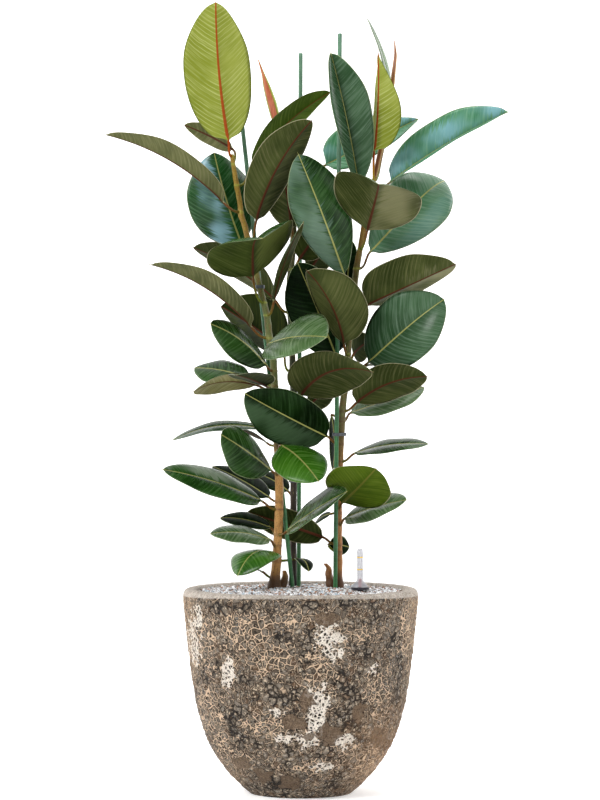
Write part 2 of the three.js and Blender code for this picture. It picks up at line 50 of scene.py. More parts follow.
def unit(vector):
    return vector / np.linalg.norm(vector)


def smooth(value, low=0.0, high=1.0):
    share = np.clip((value - low) / (high - low), 0, 1)
    return share * share * (3 - 2 * share)


def soften(values, times):
    for _ in range(times):
        values[1:-1] = (values[:-2] + 2 * values[1:-1] + values[2:]) / 4


def fullTurn(sides):
    return np.linspace(0, 2 * math.pi, sides + 1)


# Shader maths

class Term:
    def __init__(self, page, socket):
        self.page = page
        self.socket = socket

    def __add__(self, other):
        return self.page.math("ADD", self, other)

    __radd__ = __add__

    def __sub__(self, other):
        return self.page.math("SUBTRACT", self, other)

    def __rsub__(self, other):
        return self.page.math("SUBTRACT", other, self)

    def __mul__(self, other):
        return self.page.math("MULTIPLY", self, other)

    def __truediv__(self, other):
        return self.page.math("DIVIDE", self, other)

    def size(self):
        return self.page.math("ABSOLUTE", self)

    def wave(self, length):
        return self.page.math("COSINE", self * (2 * math.pi / length))

    def step(self, low, high):
        made = self.page.node("MapRange", {"Value": self, "From Min": low, "From Max": high},
                              interpolation_type="SMOOTHSTEP")
        return Term(self.page, made.outputs["Result"])


class Page:
    def __init__(self, name, **fixed):
        self.material = bpy.data.materials.new(name)
        self.material.use_nodes = True
        self.tree = self.material.node_tree
        self.shader = self.tree.nodes["Principled BSDF"]
        self.colour = None
        for key, value in fixed.items():
            self.feed(self.shader.inputs[key.replace("_", " ").title().replace("Ior", "IOR")], value)

    def feed(self, socket, value):
        if isinstance(value, Term):
            self.tree.links.new(value.socket, socket)
        elif isinstance(value, tuple) and socket.type == "RGBA":
            socket.default_value = (*linear(value), 1)
        else:
            socket.default_value = value

    def node(self, kind, inputs=None, **settings):
        made = self.tree.nodes.new("ShaderNode" + kind)
        for key, value in settings.items():
            setattr(made, key, value)
        for key, value in (inputs or {}).items():
            self.feed(made.inputs[key], value)
        return made

    def math(self, operation, *values):
        made = self.node("Math", dict(enumerate(values)), operation=operation)
        return Term(self, made.outputs[0])

    def mix(self, share, low, high):
        made = self.node("Mix", {0: share, 6: low, 7: high}, data_type="RGBA", clamp_factor=True)
        return Term(self, made.outputs[2])

    def over(self, share, hue):  # lays a share of a hue over the colour so far
        self.colour = self.mix(share, self.colour, hue)

    def where(self):
        return Term(self, self.node("TexCoord").outputs["Object"])

    def parts(self, vector):
        made = self.node("SeparateXYZ", {"Vector": vector})
        return [Term(self, made.outputs[k]) for k in range(3)]

    def field(self, name, output="Fac"):
        return Term(self, self.node("Attribute", attribute_name=name).outputs[output])

    def cloud(self, where, scale, detail=3.0, rough=0.5):
        made = self.node("TexNoise", {"Vector": where, "Scale": scale, "Detail": detail, "Roughness": rough})
        return Term(self, made.outputs["Fac"])

    def grain(self, where, flat, scale, detail, rough=0.5):  # noise drawn out along the height
        drawn = self.node("Mapping", {"Vector": where, "Scale": (1, 1, flat)})
        return self.cloud(Term(self, drawn.outputs[0]), scale, detail, rough)

    def cells(self, where, scale, feature="F1", output="Distance"):
        made = self.node("TexVoronoi", {"Vector": where, "Scale": scale}, feature=feature)
        return Term(self, made.outputs[output])

    def warp(self, where, scale, reach):
        made = self.node("TexNoise", {"Vector": where, "Scale": scale, "Detail": 2.0})
        pushed = self.node("VectorMath", {0: Term(self, made.outputs["Color"]), 1: (0.5, 0.5, 0.5)},
                           operation="SUBTRACT")
        scaled = self.node("VectorMath", {0: Term(self, pushed.outputs[0]), "Scale": reach},
                           operation="SCALE")
        moved = self.node("VectorMath", {0: where, 1: Term(self, scaled.outputs[0])}, operation="ADD")
        return Term(self, moved.outputs[0])

    def finish(self, colour, rough=None, height=None, strength=0.5, distance=0.0005):
        self.feed(self.shader.inputs["Base Color"], colour)
        if rough is not None:
            self.feed(self.shader.inputs["Roughness"], rough)
        if height is not None:
            bump = self.node("Bump", {"Height": height, "Strength": strength, "Distance": distance})
            self.tree.links.new(bump.outputs[0], self.shader.inputs["Normal"])
        return self.material


# Pieces made from a primitive grid whose points are then put in place

def gridPiece(name, points, materials, fields=None, faceSlots=None):
    rows, columns = points.shape[:2]
    bpy.ops.mesh.primitive_grid_add(x_subdivisions=columns - 1, y_subdivisions=rows - 1, size=1)
    piece = bpy.context.object
    piece.name = name
    mesh = piece.data
    mesh.name = name
    mesh.vertices.foreach_set("co", (points * mm).ravel())
    for key, values in (fields or {}).items():
        wide = values.ndim == 3
        field = mesh.attributes.new(key, "FLOAT_VECTOR" if wide else "FLOAT", "POINT")
        values = np.ascontiguousarray(values, dtype=np.float32).ravel()
        field.data.foreach_set("vector" if wide else "value", values)
    for material in materials:
        mesh.materials.append(material)
    if faceSlots is not None:
        slots = np.tile(faceSlots, rows - 1).astype(np.int32)
        mesh.polygons.foreach_set("material_index", slots)
    mesh.update()
    bpy.ops.object.mode_set(mode="EDIT")
    bpy.ops.mesh.select_all(action="SELECT")
    bpy.ops.mesh.remove_doubles(threshold=1e-6)
    bpy.ops.mesh.normals_make_consistent(inside=False)
    bpy.ops.object.mode_set(mode="OBJECT")
    bpy.ops.object.shade_smooth()
    return piece


def joinPieces(name, pieces):
    bpy.ops.object.select_all(action="DESELECT")
    for piece in pieces:
        piece.select_set(True)
    bpy.context.view_layer.objects.active = pieces[0]
    bpy.ops.object.join()
    pieces[0].name = name
    return pieces[0]


def settle(piece, slot, *replaced):
    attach(piece, "root")
    if replaced:
        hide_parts(*replaced)


def twoTone(name, fixed, scale, detail, low, high):
    page = Page(name, **fixed)
    return page.finish(page.mix(page.cloud(page.where(), scale, detail), low, high))


def dress(name, material):  # a look for a solid that stays as it is
    nodes[name].data.materials.clear()
    nodes[name].data.materials.append(material)


# Camera, light and floor

def placed(name, data, place, aim):
    made = bpy.data.objects.new(name, data)
    bpy.context.collection.objects.link(made)
    made.location = place
    made.rotation_euler = (Vector(aim) - made.location).to_track_quat("-Z", "Y").to_euler()
    return made


view = {"place": (-0.001, -5.4, 0.684), "aim": (-0.001, 0, 0.618), "lens": 154.4, "sensor": 36}
camera = bpy.data.cameras.new("camera")
camera.lens = view["lens"]
camera.sensor_width = view["sensor"]
bpy.context.scene.camera = placed("camera", camera, view["place"], view["aim"])

lamps = {
    "key": {"place": (-2.4, -3.0, 2.9), "size": 1.1, "power": 120},
    "fill": {"place": (2.8, -3.6, 1.2), "size": 2.0, "power": 34},
    "top": {"place": (0.3, 0.2, 3.4), "size": 1.6, "power": 55},
    "side": {"place": (-3.0, 0.8, 1.7), "size": 1.4, "power": 34},
    "edge": {"place": (3.0, 1.2, 2.0), "size": 1.4, "power": 40},
}
studio = {"middle": (0, 0, 0.65), "air": 0.42, "floor": 0.34, "backdrop": 1, "sheet": 60,
          "behind": (0, 9, 15), "white": (241, 241, 241)}
for name, lamp in lamps.items():
    light = bpy.data.lights.new(name, "AREA")
    light.shape = "SQUARE"
    light.size = lamp["size"]
    light.energy = lamp["power"]
    placed(name, light, lamp["place"], studio["middle"])

world = bpy.data.worlds.new("studio")
bpy.context.scene.world = world
world.use_nodes = True
world.node_tree.nodes["Background"].inputs["Color"].default_value = (1, 1, 1, 1)
world.node_tree.nodes["Background"].inputs["Strength"].default_value = studio["air"]
bpy.context.scene.view_settings.view_transform = "Standard"

for name, place, turn in (("floor", (0, 0, 0), 0), ("backdrop", studio["behind"], math.pi / 2)):
    bpy.ops.mesh.primitive_plane_add(size=studio["sheet"], location=place, rotation=(turn, 0, 0))
    sheet = bpy.context.object
    sheet.name = name
    page = Page(name, roughness=0.9, emission_color=(255, 255, 255), emission_strength=studio[name])
    sheet.data.materials.append(page.finish(studio["white"]))
print("camera and light ready")


# Leaves

# Each stem from the foot up: x, y, z and radius
stems = {
    "left": [(-42, 40, 324, 10.5), (-41, 40, 334, 8.4), (-38, 40, 360, 7), (-34, 40, 450, 6.6),
             (-34, 39, 500, 6.4), (-36, 38, 545, 7), (-39, 38, 600, 6), (-43, 37, 680, 5.8),
             (-50, 36, 716, 6.2), (-53, 36, 750, 5.2), (-63, 35, 790, 5), (-78, 34, 850, 4.7),
             (-90, 33, 900, 4.5), (-94, 32, 907, 5), (-96, 32, 930, 4), (-101, 31, 957, 4.4),
             (-105, 28, 980, 3.6), (-109, 25, 1006, 3.2)],
    "centre": [(-12, 101, 324, 7.5), (-12, 101, 340, 5.8), (-12, 101, 400, 5.3), (-11, 101, 500, 5.2),
               (-11, 101, 620, 5.4), (-14, 101, 700, 5.2), (-18, 101, 800, 5), (-13, 101, 850, 4.8),
               (-9.5, 101, 930, 4.4), (-10, 101, 1000, 3.8), (-19, 103, 1030, 3.4)],
    "right": [(60, 46, 324, 8.6), (60, 46, 336, 6.4), (60, 46, 450, 5.6), (63, 45, 540, 5.4),
              (66, 45, 600, 5.8), (73, 44, 665, 5.2), (80, 43, 750, 4.8), (89, 42, 830, 5.2),
              (95, 42, 860, 4.4), (104, 41, 915, 4.2), (111, 40, 945, 4), (118, 40, 972, 3.4)],
}

# Each leaf: its stem, the height it grows from, the blade's base and tip, width, turn, fold, arch,
# and what else bends or narrows it
leafColumns = ("stem", "height", "base", "tip", "width", "turn", "fold", "arch")
leafRows = {
    "left_01": ("left", 1003, (-114, 16, 1026), (-134, 22, 1250), 112, 197, 17, 4, {"sway": 4}),
    "left_02": ("left", 915, (-121, 12, 929), (-309, -48, 1033), 84, 106, 22, 17, {"cup": -6}),
    "left_04": ("left", 850, (-94, 62, 866), (-138, 50, 1013), 124, 20, -18, 8, {"sway": -6}),
    "left_05": ("left", 862, (-70, 10, 900), (20, -32, 1058), 82, 150, 30, 8, {"sway": -9}),
    "left_06": ("left", 772, (-75, 4, 813), (-58, -104, 868), 154, 139, 17, 18,
                {"late": 0.5, "cup": -16, "slim": 0.1}),
    "left_08": ("left", 957, (-76, 46, 990), (50, 56, 1108), 72, 118, 13, 8, {"sway": -8}),
    "left_10": ("centre", 663, (-31, 107, 701), (-131, 156, 769), 108, 150, 42, 4),
    "left_11": ("left", 664, (-54, 24, 672), (-143, -34, 738), 68, 44, -14, 4, {"sway": 8}),
    "left_13": ("left", 632, (-70, 28, 641), (-169, -24, 631), 74, 115, 2, 12, {"slim": 0.4}),
    "left_14": ("left", 633, (-55, 10, 640), (-102, -72, 658), 70, 112, 16, 2),
    "left_16": ("left", 573, (-60, 30, 573), (-205, 6, 553), 58, 106, 4, 15),
    "left_17": ("left", 500, (-47, 20, 507), (-126, -56, 566), 86, 40, -10, 4, {"slim": 0.3}),
    "left_19": ("left", 444, (-62, 26, 458), (-219, -34, 510), 72, 58, 4, 8),
    "left_22": ("right", 388, (36, 50, 399), (-88, 94, 438), 52, 168, 18, 2),
    "left_24": ("left", 404, (-20, 12, 412), (73, -92, 478), 76, 70, 13, 4),
    "left_26": ("left", 386, (-48, 26, 396), (-144, -4, 407), 60, 66, 2, 8),
    "left_27": ("left", 369, (-42, 24, 376), (-99, -40, 342), 80, 62, -4, 20),
    "left_29": ("left", 716, (-78, 26, 733), (-239, -30, 831), 88, 106, 22, 16, {"cup": -6}),
    "centre_01": ("right", 796, (69, 16, 815), (-5, -10, 1007), 98, 12, 6, 8, {"slim": 0.5}),
    "centre_03": ("centre", 872, (-14, 80, 892), (-32, 60, 1004), 88, 168, 30, 4),
    "centre_05": ("left", 752, (-42, 16, 775), (5, -50, 897), 70, 101, 4, 6),
    "centre_06": ("right", 672, (56, 48, 688), (-6, 42, 838), 96, 14, 6, 2),
    "centre_07": ("right", 690, (68, 2, 706), (8, -46, 822), 114, 142, 36, 6, {"sway": -8, "point": 0.25}),
    "centre_08": ("left", 690, (-50, 0, 706), (42, -112, 716), 106, 52, 9, 8),
    "centre_09": ("centre", 622, (0, 18, 625), (113, -92, 662), 90, 143, 5, 12, {"sway": -18, "slim": -0.4}),
    "centre_10": ("right", 548, (42, 38, 560), (-90, -14, 630), 94, -19, 19, 4),
    "centre_11": ("left", 540, (-30, 2, 546), (29, -78, 491), 86, 34, -8, 10),
    "right_01": ("right", 940, (91, 24, 958), (46, 4, 1168), 88, 30, 40, 6, {"slim": 0.3}),
    "right_02": ("right", 958, (116, 22, 1010), (122, 20, 1172), 92, 225, 43, 4, {"point": 1}),
    "right_03": ("right", 857, (105, 0, 885), (119, -150, 950), 144, 186, 18, 14, {"late": 0.5}),
    "right_04": ("right", 966, (132, 94, 1017), (103, 102, 1234), 58, 78, 8, 22),
    "right_05": ("centre", 968, (40, 158, 996), (194, 164, 1073), 92, 40, 25, 0,
                 {"slim": -0.5, "point": 0.55}),
    "right_07": ("right", 946, (142, 52, 963), (335, 72, 1078), 94, 52, 36, 8, {"cup": -6}),
    "right_08": ("right", 826, (110, 46, 852), (233, 124, 969), 112, 12, 0, 30, {"late": 0.8, "slim": 0.5}),
    "right_09": ("right", 756, (104, 22, 767), (245, -38, 832), 98, 132, 32, 0, {"slim": -0.5}),
    "right_10": ("right", 664, (107, 36, 677), (228, -10, 778), 114, 16, 14, 12, {"late": 0.5, "slim": 0.2}),
    "right_12": ("right", 446, (66, 18, 456), (117, -112, 515), 102, 164, 8, -4),
    "right_13": ("right", 420, (70, 30, 430), (168, -24, 462), 72, 64, 6, 4),
    "right_14": ("right", 520, (86, 36, 533), (204, 12, 548), 66, 73, 5, 7),
    "right_16": ("right", 600, (88, 34, 613), (201, -16, 655), 82, 138, 12, 8, {"sway": -8}),
}
# Small or mostly hidden leaves, fused with the stems
smallRows = {
    "left_03": ("left", 990, (-108, 58, 1016), (-188, 104, 1058), 36, 140, 10, 4),
    "left_07": ("centre", 757, (-42, 104, 778), (-176, 128, 863), 78, 125, 24, 10),
    "left_12": ("left", 640, (-84, 66, 652), (-172, 110, 668), 62, 50, 0, 6),
    "left_18": ("left", 545, (-52, 54, 548), (-98, 84, 569), 40, 100, 4, 4),
    "left_20": ("left", 456, (-50, 58, 462), (-143, 98, 511), 62, 58, 6, 4),
    "left_21": ("centre", 464, (-20, 112, 470), (-68, 130, 497), 44, 50, 6, 4),
    "left_25": ("left", 404, (-48, 56, 414), (-130, 68, 429), 44, 60, 8, 6),
    "left_28": ("left", 336, (-60, 50, 344), (-102, 56, 344), 36, 96, 4, 6),
    "centre_02": ("centre", 812, (14, 122, 824), (60, 134, 884), 56, 150, 10, 4),
    "centre_04": ("centre", 826, (-2, 78, 842), (44, 66, 900), 60, 160, 10, 4),
    "centre_12": ("left", 362, (-6, 66, 364), (13, 40, 345), 30, 60, 4, 8),
    "centre_13": ("centre", 596, (14, 118, 608), (56, 132, 640), 50, 150, 10, 4),
    "right_11": ("right", 676, (84, 58, 690), (114, 90, 714), 50, 150, 10, 4),
    "right_15": ("right", 584, (80, 58, 597), (200, 88, 638), 66, 56, 4, 0),
    "right_18": ("right", 660, (104, 62, 672), (170, 92, 670), 34, 84, 4, 4),
    "right_20": ("right", 588, (49, 60, 592), (51, 70, 504), 30, 60, 4, 4),
    "right_21": ("right", 438, (48, 58, 436), (22, 76, 418), 28, 76, 4, 4),
    "right_22": ("right", 376, (46, 62, 388), (78, 74, 382), 32, 20, 4, 4),
    "right_23": ("right", 770, (74, 62, 792), (82, 74, 872), 30, 20, 4, 4),
}

leafShape = {"stalk": 1.9, "foot": 2.7, "reach": 0.36, "thick": 0.8, "swell": 1.3, "rib": 1.3, "groove": 0.35,
             "cup": -14, "wave": 0.8, "waves": 13, "end": 0.975, "full": 2.15, "round": 0.56, "taper": 0.16,
             "taperFrom": 0.62}
fineLeaf = {"rows": 46, "across": 11, "stalkRows": 9}
coarseLeaf = {"rows": 24, "across": 7, "stalkRows": 6}


def bezier(points, share):
    share = np.asarray(share)[:, None]
    rest = 1 - share
    a, b, c, d = points
    place = rest ** 3 * a + 3 * rest ** 2 * share * b + 3 * rest * share ** 2 * c + share ** 3 * d
    speed = 3 * rest ** 2 * (b - a) + 6 * rest * share * (c - b) + 3 * share ** 2 * (d - c)
    return place, speed / np.linalg.norm(speed, axis=1, keepdims=True)


def bladeOutline(along):
    body = np.clip(1 - np.abs(2 * along / leafShape["end"] - 1) ** leafShape["full"], 0, None)
    return body ** leafShape["round"] * (1 - leafShape["taper"] * smooth(along, leafShape["taperFrom"], 1))


def bladeAxes(base, tip, turn):
    chord = unit(tip - base)
    front = np.array([0.0, -1.0, 0.0])
    front = unit(front - front.dot(chord) * chord)
    up = np.cross(chord, front)
    up = -up if up[2] < 0 else up
    angle = math.radians(turn)
    face = math.cos(angle) * front + math.sin(angle) * up
    side = -math.sin(angle) * front + math.cos(angle) * up
    return side, face


def axesAlong(tangent, side, face):
    across = side - tangent * (tangent @ side)[:, None]
    across /= np.linalg.norm(across, axis=1, keepdims=True)
    upward = np.cross(tangent, across)
    return across, upward * np.where(upward @ face < 0, -1, 1)[:, None]


def stemAt(stem, height):
    table = np.array(stems[stem], dtype=float)
    return [np.interp(height, table[:, 2], table[:, k]) for k in (0, 1, 3)]


def leafPiece(name, row, materials, detail):
    form = dict(zip(leafColumns, row))
    for more in row[len(leafColumns):]:
        form.update(more)
    base = np.array(form["base"], dtype=float)
    tip = np.array(form["tip"], dtype=float)
    side, face = bladeAxes(base, tip, form["turn"])
    bow = form["arch"] * face + form.get("sway", 0) * side
    late = form.get("late", 0)
    third = (tip - base) / 3
    curve = [base, base + third + bow * 4 / 3 * (1 - late), tip - third + bow * 4 / 3 * (1 + late), tip]
    steps = np.linspace(0, 1, 201)
    walked = bezier(curve, steps)[0]
    lengths = np.concatenate([[0], np.cumsum(np.linalg.norm(np.diff(walked, axis=0), axis=1))])
    rows = detail["rows"]
    along = np.concatenate([np.linspace(0, 0.1, rows // 5, endpoint=False), np.linspace(0.1, 0.93, rows),
                            np.linspace(0.94, 1, rows // 6)])
    centre, tangent = bezier(curve, np.interp(along * lengths[-1], lengths, steps))
    stemX, stemY, stemRadius = stemAt(form["stem"], form["height"])
    out = unit(np.array([base[0] - stemX, base[1] - stemY, 0]))
    foot = np.array([stemX, stemY, form["height"]]) + out * (stemRadius - 1)  # 1 mm inside the bark
    stalkLength = np.linalg.norm(base - foot)
    reach = stalkLength * leafShape["reach"]
    stalkSteps = np.linspace(0, 1, detail["stalkRows"], endpoint=False)
    stalkCurve = [foot, foot + out * reach, base - bezier(curve, [0])[1][0] * reach, base]
    stalkCentre, stalkTangent = bezier(stalkCurve, stalkSteps)

    # Half the width, the fold at the midrib and the cup of each half, row by row
    half = form["width"] / 2 * bladeOutline(along) * (1 - form.get("slim", 0) * (1 - along) ** 3)
    half = half * (1 - form.get("point", 0) * along ** 2)
    least = np.where(along > 0.5, 0.9 - 0.65 * smooth(along, 0.95, 1), leafShape["stalk"])
    half = np.maximum(half, least)
    bent = np.minimum(1, half / 8)
    fold = math.radians(form["fold"]) * bent
    cup = math.radians(form.get("cup", leafShape["cup"])) * bent

    # One ring of points per row: over the upper face to the right rim and back along the lower face
    spread = np.linspace(-1, 1, 2 * detail["across"] + 1)
    shares = np.sign(spread) * np.abs(spread) ** 1.35
    ring = np.concatenate([shares, shares[-2::-1]])
    above = np.concatenate([np.ones(len(shares)), -np.ones(len(shares) - 1)])
    above[[0, len(shares) - 1, -1]] = 0
    phase = draw.uniform(0, 6.28, 2)

    across, upward = axesAlong(tangent, side, face)
    lift = fold[:, None] + cup[:, None] * (np.abs(ring) - 0.5)
    sideways = half[:, None] * np.abs(ring)
    rise = sideways * np.sin(lift)
    level = sideways * np.cos(lift) * np.sign(ring)
    sideMm = half[:, None] * ring
    wave = np.sin(along[:, None] * leafShape["waves"] + np.where(ring > 0, phase[0], phase[1]))
    rise = rise + wave * leafShape["wave"] * ring ** 2 * smooth(half, 8, 30)[:, None]
    swell = leafShape["swell"] * (1 - smooth(along / 0.06))[:, None]
    body = leafShape["thick"] / 2 * np.sqrt(1 - np.abs(ring) ** 6) + swell * (1 - np.abs(ring))
    ribSize = leafShape["rib"] * (1 - 0.75 * along)[:, None] * smooth(half, 1, 6)[:, None]
    ridge = ribSize * np.exp(-(sideMm / (1.9 - along[:, None])) ** 2)
    groove = leafShape["groove"] * np.exp(-(sideMm / 1.2) ** 2) * smooth(half, 1, 6)[:, None]
    offset = np.where(above > 0, body - groove, np.where(above < 0, -body - ridge, 0))
    blade = (centre[:, None] + across[:, None] * (level - offset * np.sin(lift) * np.sign(ring))[..., None]
             + upward[:, None] * (rise + offset * np.cos(lift))[..., None])
    tube = leafShape["stalk"] * np.stack([ring, above * np.sqrt(1 - ring ** 2)])
    blended = (1 - smooth(along / 0.05))[:, None, None]
    rounded = (centre[:, None] + across[:, None] * tube[0][None, :, None]
               + upward[:, None] * tube[1][None, :, None])
    blade = blade * (1 - blended) + rounded * blended

    # The petiole, which swells towards the stem
    stalkAcross, stalkUp = axesAlong(stalkTangent, side, face)
    swollen = 1 + (leafShape["foot"] / leafShape["stalk"] - 1) * (1 - smooth(stalkSteps, 0, 0.22))
    stalk = (stalkCentre[:, None] + stalkAcross[:, None] * (tube[0] * swollen[:, None])[..., None]
             + stalkUp[:, None] * (tube[1] * swollen[:, None])[..., None])

    points = np.concatenate([stalk, blade])
    everyAlong = np.concatenate([(stalkSteps - 1) * stalkLength / lengths[-1], along])
    everyHalf = np.concatenate([np.full(len(stalkSteps), leafShape["stalk"]), half])
    place = np.stack([np.repeat(everyAlong[:, None] * lengths[-1], len(ring), 1), everyHalf[:, None] * ring,
                      everyHalf[:, None] * (1 - np.abs(ring))], axis=2)
    fields = {"place": place, "along": np.repeat(everyAlong[:, None], len(ring), 1)}
    faceSlots = np.concatenate([np.zeros(len(shares) - 1), np.ones(len(shares) - 1)])
    return gridPiece(name, points, materials, fields, faceSlots)


def leafFace(name, tones, look):
    page = Page(name, specular_ior_level=look["gloss"], coat_weight=look.get("coat", 0), coat_roughness=0.2)
    dark, middle, light = tones
    line, side, edge = page.parts(page.field("place", "Vector"))
    along = page.field("along")
    where = page.where()
    off = side.size()

    # Patches, strokes along the side veins, and the veins themselves
    bend = line - off * look["lean"] - off * off * 0.005
    brushed = page.node("CombineXYZ", {"X": bend * 0.16, "Y": side * 0.012, "Z": along * 0.4})
    brush = page.cloud(Term(page, brushed.outputs[0]), 1.6, 3.0, 0.6)
    wander = page.cloud(where, 40, 2.0) * 5
    vein = (bend + wander).wave(look["spacing"]).step(0.72, 1) * page.cloud(where, 24, 2.0).step(0.3, 0.6)
    patch = page.cloud(where, look["patch"], 3.0).step(0.35, 0.66)
    page.colour = page.mix(patch, dark, middle)
    page.over(brush.step(0.45, 0.75) * look["streak"], light)
    page.over((1 - brush.step(0.3, 0.5)) * look["streak"], dark)
    page.over(vein * look["vein"], light)
    if "sheen" in look:  # painted sheen: one half painted lighter as if it caught the light; the band's middle and reach in mm, its share and colour
        centre, reach, share, hue = look["sheen"]
        band = 1 - ((side - centre).size() + (brush - 0.5) * reach * 2.4).step(reach * 0.4, reach)
        paintedShine = band * page.cloud(where, 12, 2.0).step(0.3, 0.55)
        page.over(paintedShine * share, hue)

    # Painted shade in the fold beside the midrib, a pale rim that is partly a painted edge highlight, the
    # midrib and the petiole
    # painted shade in the fold along the midrib
    page.over((1 - off.step(1, 12)) * look["trough"], dark)
    # a pale margin, partly a painted edge highlight
    page.over((1 - edge.step(0.7, 1.5)) * look["marginAndHighlight"], look["rim"])
    rib = 1 - (off + along * look["ribWidth"] * 0.7 - look["ribWidth"]).step(0, 0.6)
    page.over(rib * 0.92, look["rib"])
    stalk = 1 - along.step(-0.03, 0.02)
    page.over(stalk, page.mix(along.step(-0.3, 0), look["stalkLow"], look["stalkHigh"]))
    speck = page.cloud(where, 900, 2.0)
    height = vein * look["veinHeight"] + brush * 0.5 + speck * 0.2
    rough = page.cloud(where, 35, 2.0) * 0.14 + brush * 0.16 + (look["rough"] - 0.15)
    return page.finish(page.colour, rough, height, look["bump"], 0.0004)


faceLook = {"spacing": 7.5, "streak": 0.45, "bump": 0.35, "stalkLow": (96, 106, 34), "stalkHigh": (104, 66, 36)}
topLook = {**faceLook, "rough": 0.27, "gloss": 0.17, "coat": 0.05, "ribWidth": 1.3, "rib": (146, 146, 84),
           "rim": (150, 164, 124), "lean": 0.5, "patch": 13, "vein": 0.25, "trough": 0.15, "marginAndHighlight": 0.8,
           "veinHeight": -0.4}
underLook = {**faceLook, "rough": 0.6, "gloss": 0.04, "ribWidth": 2.1, "rib": (68, 33, 20),
             "rim": (180, 174, 140), "lean": 0.55, "patch": 11, "vein": 0.22, "trough": 0.5, "marginAndHighlight": 0.75,
             "veinHeight": 0.4}
limeStalks = {"stalkLow": (146, 132, 40), "stalkHigh": (146, 60, 24)}
# Upper and lower faces: dark, middle and light tone, and what differs from the common look; a sheen is a
# painted highlight on one half
topFaces = {
    "topDark": ((1, 12, 0), (12, 34, 4), (44, 68, 38), {"gloss": 0.05, "coat": 0, "rough": 0.42,
                "vein": 0.15}),
    "topMid": ((14, 40, 4), (40, 72, 24), (80, 112, 66)),
    "topShade": ((2, 14, 0), (14, 36, 6), (48, 72, 42), {"sheen": (-24, 24, 0.45, (70, 94, 66)),
                 "gloss": 0.05, "coat": 0, "rough": 0.42, "vein": 0.15}),
    "topHalf": ((10, 36, 4), (32, 62, 22), (72, 104, 62), {"sheen": (-24, 30, 0.6, (104, 130, 112)),
                "gloss": 0.1}),
    "topStripe": ((12, 42, 4), (34, 72, 20), (74, 110, 60), {"sheen": (18, 16, 0.6, (150, 164, 142))}),
    "topSoft": ((36, 62, 36), (64, 90, 64), (104, 128, 106), {"gloss": 0.08}),
    "topGray": ((44, 72, 32), (82, 108, 68), (132, 150, 116)),
    "topSage": ((56, 94, 62), (80, 114, 88), (124, 146, 126), {"sheen": (-34, 16, 0.18, (112, 150, 156))}),
    "topTeal": ((6, 42, 6), (24, 72, 26), (92, 132, 92), {"sheen": (-25, 20, 0.9, (128, 166, 178))}),
    "topBlue": ((44, 96, 56), (72, 124, 90), (124, 162, 140), {"sheen": (18, 20, 0.8, (118, 162, 172))}),
    "topBright": ((28, 72, 4), (56, 100, 22), (100, 140, 66)),
    "limeTop": ((100, 116, 14), (134, 146, 40), (174, 180, 90), {**limeStalks, "rib": (146, 104, 40)}),
}
underFaces = {
    "underDeep": ((14, 22, 2), (32, 42, 8), (62, 68, 28)),
    "underDark": ((24, 32, 6), (44, 54, 18), (74, 80, 42)),
    "underMid": ((38, 46, 16), (65, 71, 36), (96, 95, 62)),
    "underLobe": ((28, 38, 6), (50, 61, 20), (80, 88, 46), {"sheen": (44, 50, 0.55, (108, 118, 60))}),
    "underShade": ((38, 46, 16), (65, 71, 36), (100, 101, 64), {"sheen": (32, 44, 0.45, (134, 130, 98))}),
    "underPale": ((62, 66, 36), (90, 92, 57), (124, 122, 86), {"trough": 0.2}),
    "underLight": ((86, 86, 46), (120, 116, 74), (160, 154, 116), {"trough": 0.2}),
    "underBright": ((58, 80, 12), (84, 108, 30), (120, 138, 62), {"rib": (112, 72, 34)}),
    "underGreen": ((44, 64, 6), (68, 88, 16), (106, 120, 46), {"rib": (92, 92, 36)}),
    "lime": ((112, 122, 40), (142, 150, 68), (178, 184, 118), {**limeStalks, "rib": (142, 52, 20),
             "rim": (98, 116, 20), "ribWidth": 2.4, "trough": 0.1, "patch": 9, "streak": 0.35,
             "vein": 0.5}),
}
faces = {}
for common, table in ((topLook, topFaces), (underLook, underFaces)):
    for name, row in table.items():
        faces[name] = leafFace(name, row[:3], {**common, **dict(*row[3:])})

# Which leaves wear which upper and lower face; all others are dark
wear = {
    ("topMid", "underMid"): ("left_05", "left_07", "left_11", "left_12", "left_17", "left_24",
                             "centre_03", "centre_05", "centre_07", "centre_09", "right_14", "right_16"),
    ("topGray", "underLight"): ("left_13", "centre_08", "right_04"),
    ("topGray", "underMid"): ("left_26", "right_13", "right_15"),
    ("topMid", "underDark"): ("left_14", "left_22", "centre_04"),
    ("topMid", "underPale"): ("left_02", "left_03", "left_29"),
    ("limeTop", "lime"): ("left_01", "right_02"),
    ("topBlue", "underMid"): ("right_05", "right_07"),
    ("topBright", "underMid"): ("left_27", "centre_11"),
    ("topMid", "underShade"): ("right_03", "right_09"),
    ("topSoft", "underMid"): ("right_01", "right_10"),
    ("topHalf", "underMid"): ("centre_01",),
    ("topMid", "underBright"): ("left_08",),
    ("topMid", "underDeep"): ("left_10",),
    ("topMid", "underGreen"): ("right_12",),
    ("topMid", "underLobe"): ("left_06",),
    ("topSage", "underMid"): ("right_08",),
    ("topShade", "underMid"): ("centre_10",),
    ("topSoft", "topSoft"): ("left_16",),
    ("topStripe", "underMid"): ("left_19",),
    ("topTeal", "underMid"): ("left_04",),
}


def worn(name):
    for pair, wearers in wear.items():
        if name in wearers:
            return [faces[key] for key in pair]
    return [faces["topDark"], faces["underDark"]]


for name, row in leafRows.items():
    piece = leafPiece("blade_" + name, row, worn(name), fineLeaf)
    young = name in ("left_01", "right_02")
    settle(piece, "young_leaf" if young else "leaf", "leaf_" + name)
print("leaves made")


# Stems with their small leaves

